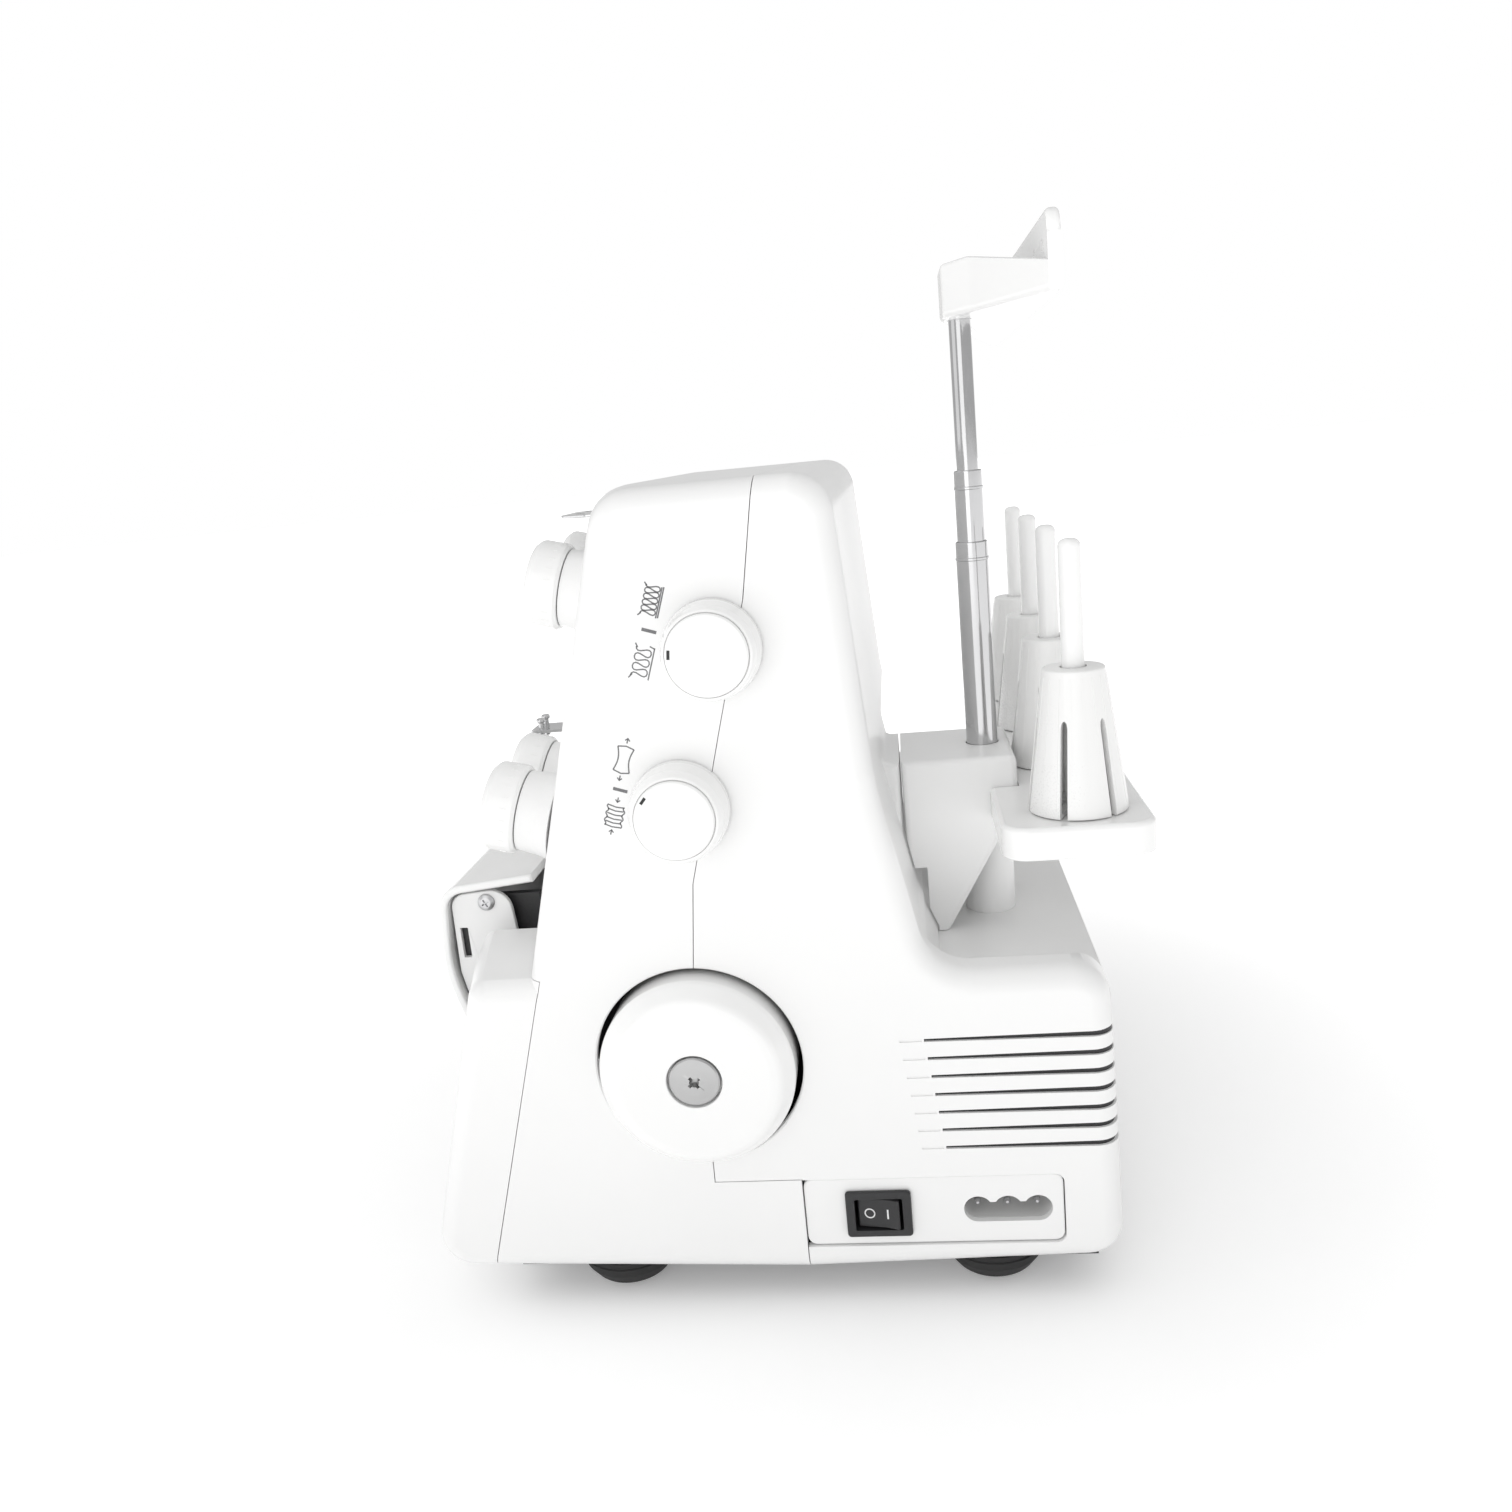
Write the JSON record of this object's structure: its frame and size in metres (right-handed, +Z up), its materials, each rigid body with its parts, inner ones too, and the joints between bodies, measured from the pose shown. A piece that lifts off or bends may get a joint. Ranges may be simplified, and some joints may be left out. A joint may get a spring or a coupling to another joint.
{
  "type": "serger overlock machine",
  "caption": "Tabletop overlock sewing machine with sloping front, side handwheel and knobs, tension dials, hinged looper cover, rear spool stand and telescopic thread tree.",
  "frame": {"origin": "centre of the bounding box's bottom face, on the ground under the machine", "axes": "+X to the operator's right (the handwheel side), +Y away from the operator, +Z up"},
  "size_m": [0.3099, 0.2827, 0.373],
  "materials": {
    "white_plastic": "satin",
    "black_plastic": "satin",
    "rubber": "matte",
    "steel": "satin",
    "chrome": "polished",
    "casting": "satin"
  },
  "bodies": {
    "machine": {"base_tray": "black_plastic", "front_housing": "white_plastic", "rear_housing": "white_plastic", "front_corner_cover": "white_plastic", "power_panel": "white_plastic", "switch_bezel": "black_plastic", "foot_control_socket": "white_plastic", "foot_front_left": "rubber", "foot_front_right": "rubber", "foot_rear_left": "rubber", "foot_rear_right": "rubber", "motor": "casting", "drive_belt": "rubber", "inner_frame": "casting", "cloth_plate": "steel", "needle_plate": "steel", "lower_knife": "steel", "top_thread_guide": "chrome", "looper_thread_guide": "chrome", "stand_bracket": "white_plastic", "spool_stand": "white_plastic", "spool_pin_1": "white_plastic", "spool_pin_2": "white_plastic", "spool_pin_3": "white_plastic", "spool_pin_4": "white_plastic", "pole_lower_tube": "chrome"},
    "wheel": {"handwheel": "white_plastic", "handwheel_screw": "steel", "main_shaft": "steel", "drive_pulley": "black_plastic"},
    "motor_rotor": {"motor_pulley": "steel"},
    "length_knob": {"stitch_length_knob": "white_plastic"},
    "feed_knob": {"differential_feed_knob": "white_plastic"},
    "dial_left_needle": {"left_needle_dial": "white_plastic"},
    "dial_right_needle": {"right_needle_dial": "white_plastic"},
    "dial_upper_looper": {"upper_looper_dial": "white_plastic"},
    "dial_lower_looper": {"lower_looper_dial": "white_plastic"},
    "rocker": {"power_rocker": "black_plastic"},
    "carriage": {"cover_carriage": "black_plastic"},
    "cover": {"looper_cover": "white_plastic", "cover_end_plate": "white_plastic"},
    "table": {"extension_table": "white_plastic"},
    "lever": {"presser_lever": "white_plastic"},
    "presser": {"presser_bar": "steel", "presser_foot": "chrome"},
    "needles": {"needle_bar": "steel", "needle_clamp": "steel", "left_needle": "steel", "right_needle": "steel"},
    "looper_lower": {"lower_looper": "chrome"},
    "looper_upper": {"upper_looper": "chrome"},
    "knife": {"upper_knife": "steel"},
    "feed": {"feed_dog": "steel"},
    "pole_middle": {"pole_middle_tube": "chrome"},
    "pole_upper": {"pole_upper_tube": "chrome"},
    "tree": {"thread_tree": "white_plastic"},
    "cone_1": {"cone_holder_1": "white_plastic"},
    "cone_2": {"cone_holder_2": "white_plastic"},
    "cone_3": {"cone_holder_3": "white_plastic"},
    "cone_4": {"cone_holder_4": "white_plastic"}
  },
  "joints": [
    {"name": "handwheel_turn", "type": "hinge", "parent": "machine", "child": "wheel", "pos_m": [0.1395, -0.022, 0.0985], "axis": [1, 0, 0], "continuous": true},
    {"name": "motor_spin", "type": "hinge", "parent": "machine", "child": "motor_rotor", "pos_m": [0.101, 0.07, 0.062], "axis": [1, 0, 0], "continuous": true},
    {"name": "stitch_length_turn", "type": "hinge", "parent": "machine", "child": "length_knob", "pos_m": [0.1395, -0.0016, 0.2475], "axis": [1, 0, 0], "range_deg": [-135, 135]},
    {"name": "differential_feed_turn", "type": "hinge", "parent": "machine", "child": "feed_knob", "pos_m": [0.1395, -0.018, 0.194], "axis": [1, 0, 0], "range_deg": [-100, 100]},
    {"name": "left_needle_tension_turn", "type": "hinge", "parent": "machine", "child": "dial_left_needle", "pos_m": [-0.0055, -0.06171, 0.2595], "axis": [0, -0.9674, 0.2532], "range_deg": [-150, 150]},
    {"name": "right_needle_tension_turn", "type": "hinge", "parent": "machine", "child": "dial_right_needle", "pos_m": [0.0445, -0.06169, 0.2595], "axis": [0, -0.9674, 0.2532], "range_deg": [-150, 150]},
    {"name": "upper_looper_tension_turn", "type": "hinge", "parent": "machine", "child": "dial_upper_looper", "pos_m": [0.0345, -0.08278, 0.179], "axis": [0, -0.9674, 0.2532], "range_deg": [-150, 150]},
    {"name": "lower_looper_tension_turn", "type": "hinge", "parent": "machine", "child": "dial_lower_looper", "pos_m": [0.0845, -0.07902, 0.179], "axis": [0, -0.9674, 0.2532], "range_deg": [-150, 150]},
    {"name": "power_switch_rock", "type": "hinge", "parent": "machine", "child": "rocker", "pos_m": [0.1357, 0.0376, 0.0374], "axis": [0, 0, 1], "range_deg": [0, 13]},
    {"name": "looper_cover_slide", "type": "slide", "parent": "machine", "child": "carriage", "axis": [1, 0, 0], "range_m": [0, 0.01]},
    {"name": "looper_cover_tip", "type": "hinge", "parent": "carriage", "child": "cover", "pos_m": [0, -0.112, 0.05], "axis": [1, 0, 0], "range_deg": [0, 75]},
    {"name": "extension_table_slide", "type": "slide", "parent": "machine", "child": "table", "axis": [-1, 0, 0], "range_m": [0, 0.08]},
    {"name": "presser_lever_lift", "type": "hinge", "parent": "machine", "child": "lever", "pos_m": [-0.057, 0.031, 0.214], "axis": [1, 0, 0], "range_deg": [0, 20]},
    {"name": "presser_bar_rise", "type": "slide", "parent": "machine", "child": "presser", "axis": [0, 0, 1], "range_m": [0, 0.006]},
    {"name": "needle_bar_stroke", "type": "slide", "parent": "machine", "child": "needles", "axis": [0, 0, 1], "range_m": [-0.022, 0]},
    {"name": "lower_looper_swing", "type": "hinge", "parent": "machine", "child": "looper_lower", "pos_m": [-0.025, -0.054, 0.056], "axis": [0, 1, 0], "range_deg": [-12, 5]},
    {"name": "upper_looper_swing", "type": "hinge", "parent": "machine", "child": "looper_upper", "pos_m": [-0.006, -0.068, 0.066], "axis": [0, 1, 0], "range_deg": [-12, 10]},
    {"name": "upper_knife_swing", "type": "hinge", "parent": "machine", "child": "knife", "pos_m": [0, -0.025, 0.108], "axis": [1, 0, 0], "range_deg": [0, 6]},
    {"name": "feed_dog_travel", "type": "slide", "parent": "machine", "child": "feed", "axis": [0, 1, 0], "range_m": [-0.002, 0.002]},
    {"name": "pole_middle_slide", "type": "slide", "parent": "machine", "child": "pole_middle", "axis": [0, 0, 1], "range_m": [-0.025, 0.09]},
    {"name": "pole_upper_slide", "type": "slide", "parent": "pole_middle", "child": "pole_upper", "axis": [0, 0, 1], "range_m": [-0.05, 0.06]},
    {"name": "thread_tree_turn", "type": "hinge", "parent": "pole_upper", "child": "tree", "pos_m": [0.0515, 0.0885, 0.35], "axis": [0, 0, 1], "range_deg": [-15, 15]},
    {"name": "cone_holder_1_lift", "type": "slide", "parent": "machine", "child": "cone_1", "axis": [0, 0, 1], "range_m": [0, 0.094]},
    {"name": "cone_holder_2_lift", "type": "slide", "parent": "machine", "child": "cone_2", "axis": [0, 0, 1], "range_m": [0, 0.094]},
    {"name": "cone_holder_3_lift", "type": "slide", "parent": "machine", "child": "cone_3", "axis": [0, 0, 1], "range_m": [0, 0.094]},
    {"name": "cone_holder_4_lift", "type": "slide", "parent": "machine", "child": "cone_4", "axis": [0, 0, 1], "range_m": [0, 0.094]}
  ],
  "couplings": [
    {"joint": "motor_spin", "follows": "handwheel_turn", "ratio": 4},
    {"joint": "presser_lever_lift", "follows": "presser_bar_rise", "rad_per_m": 58}
  ]
}
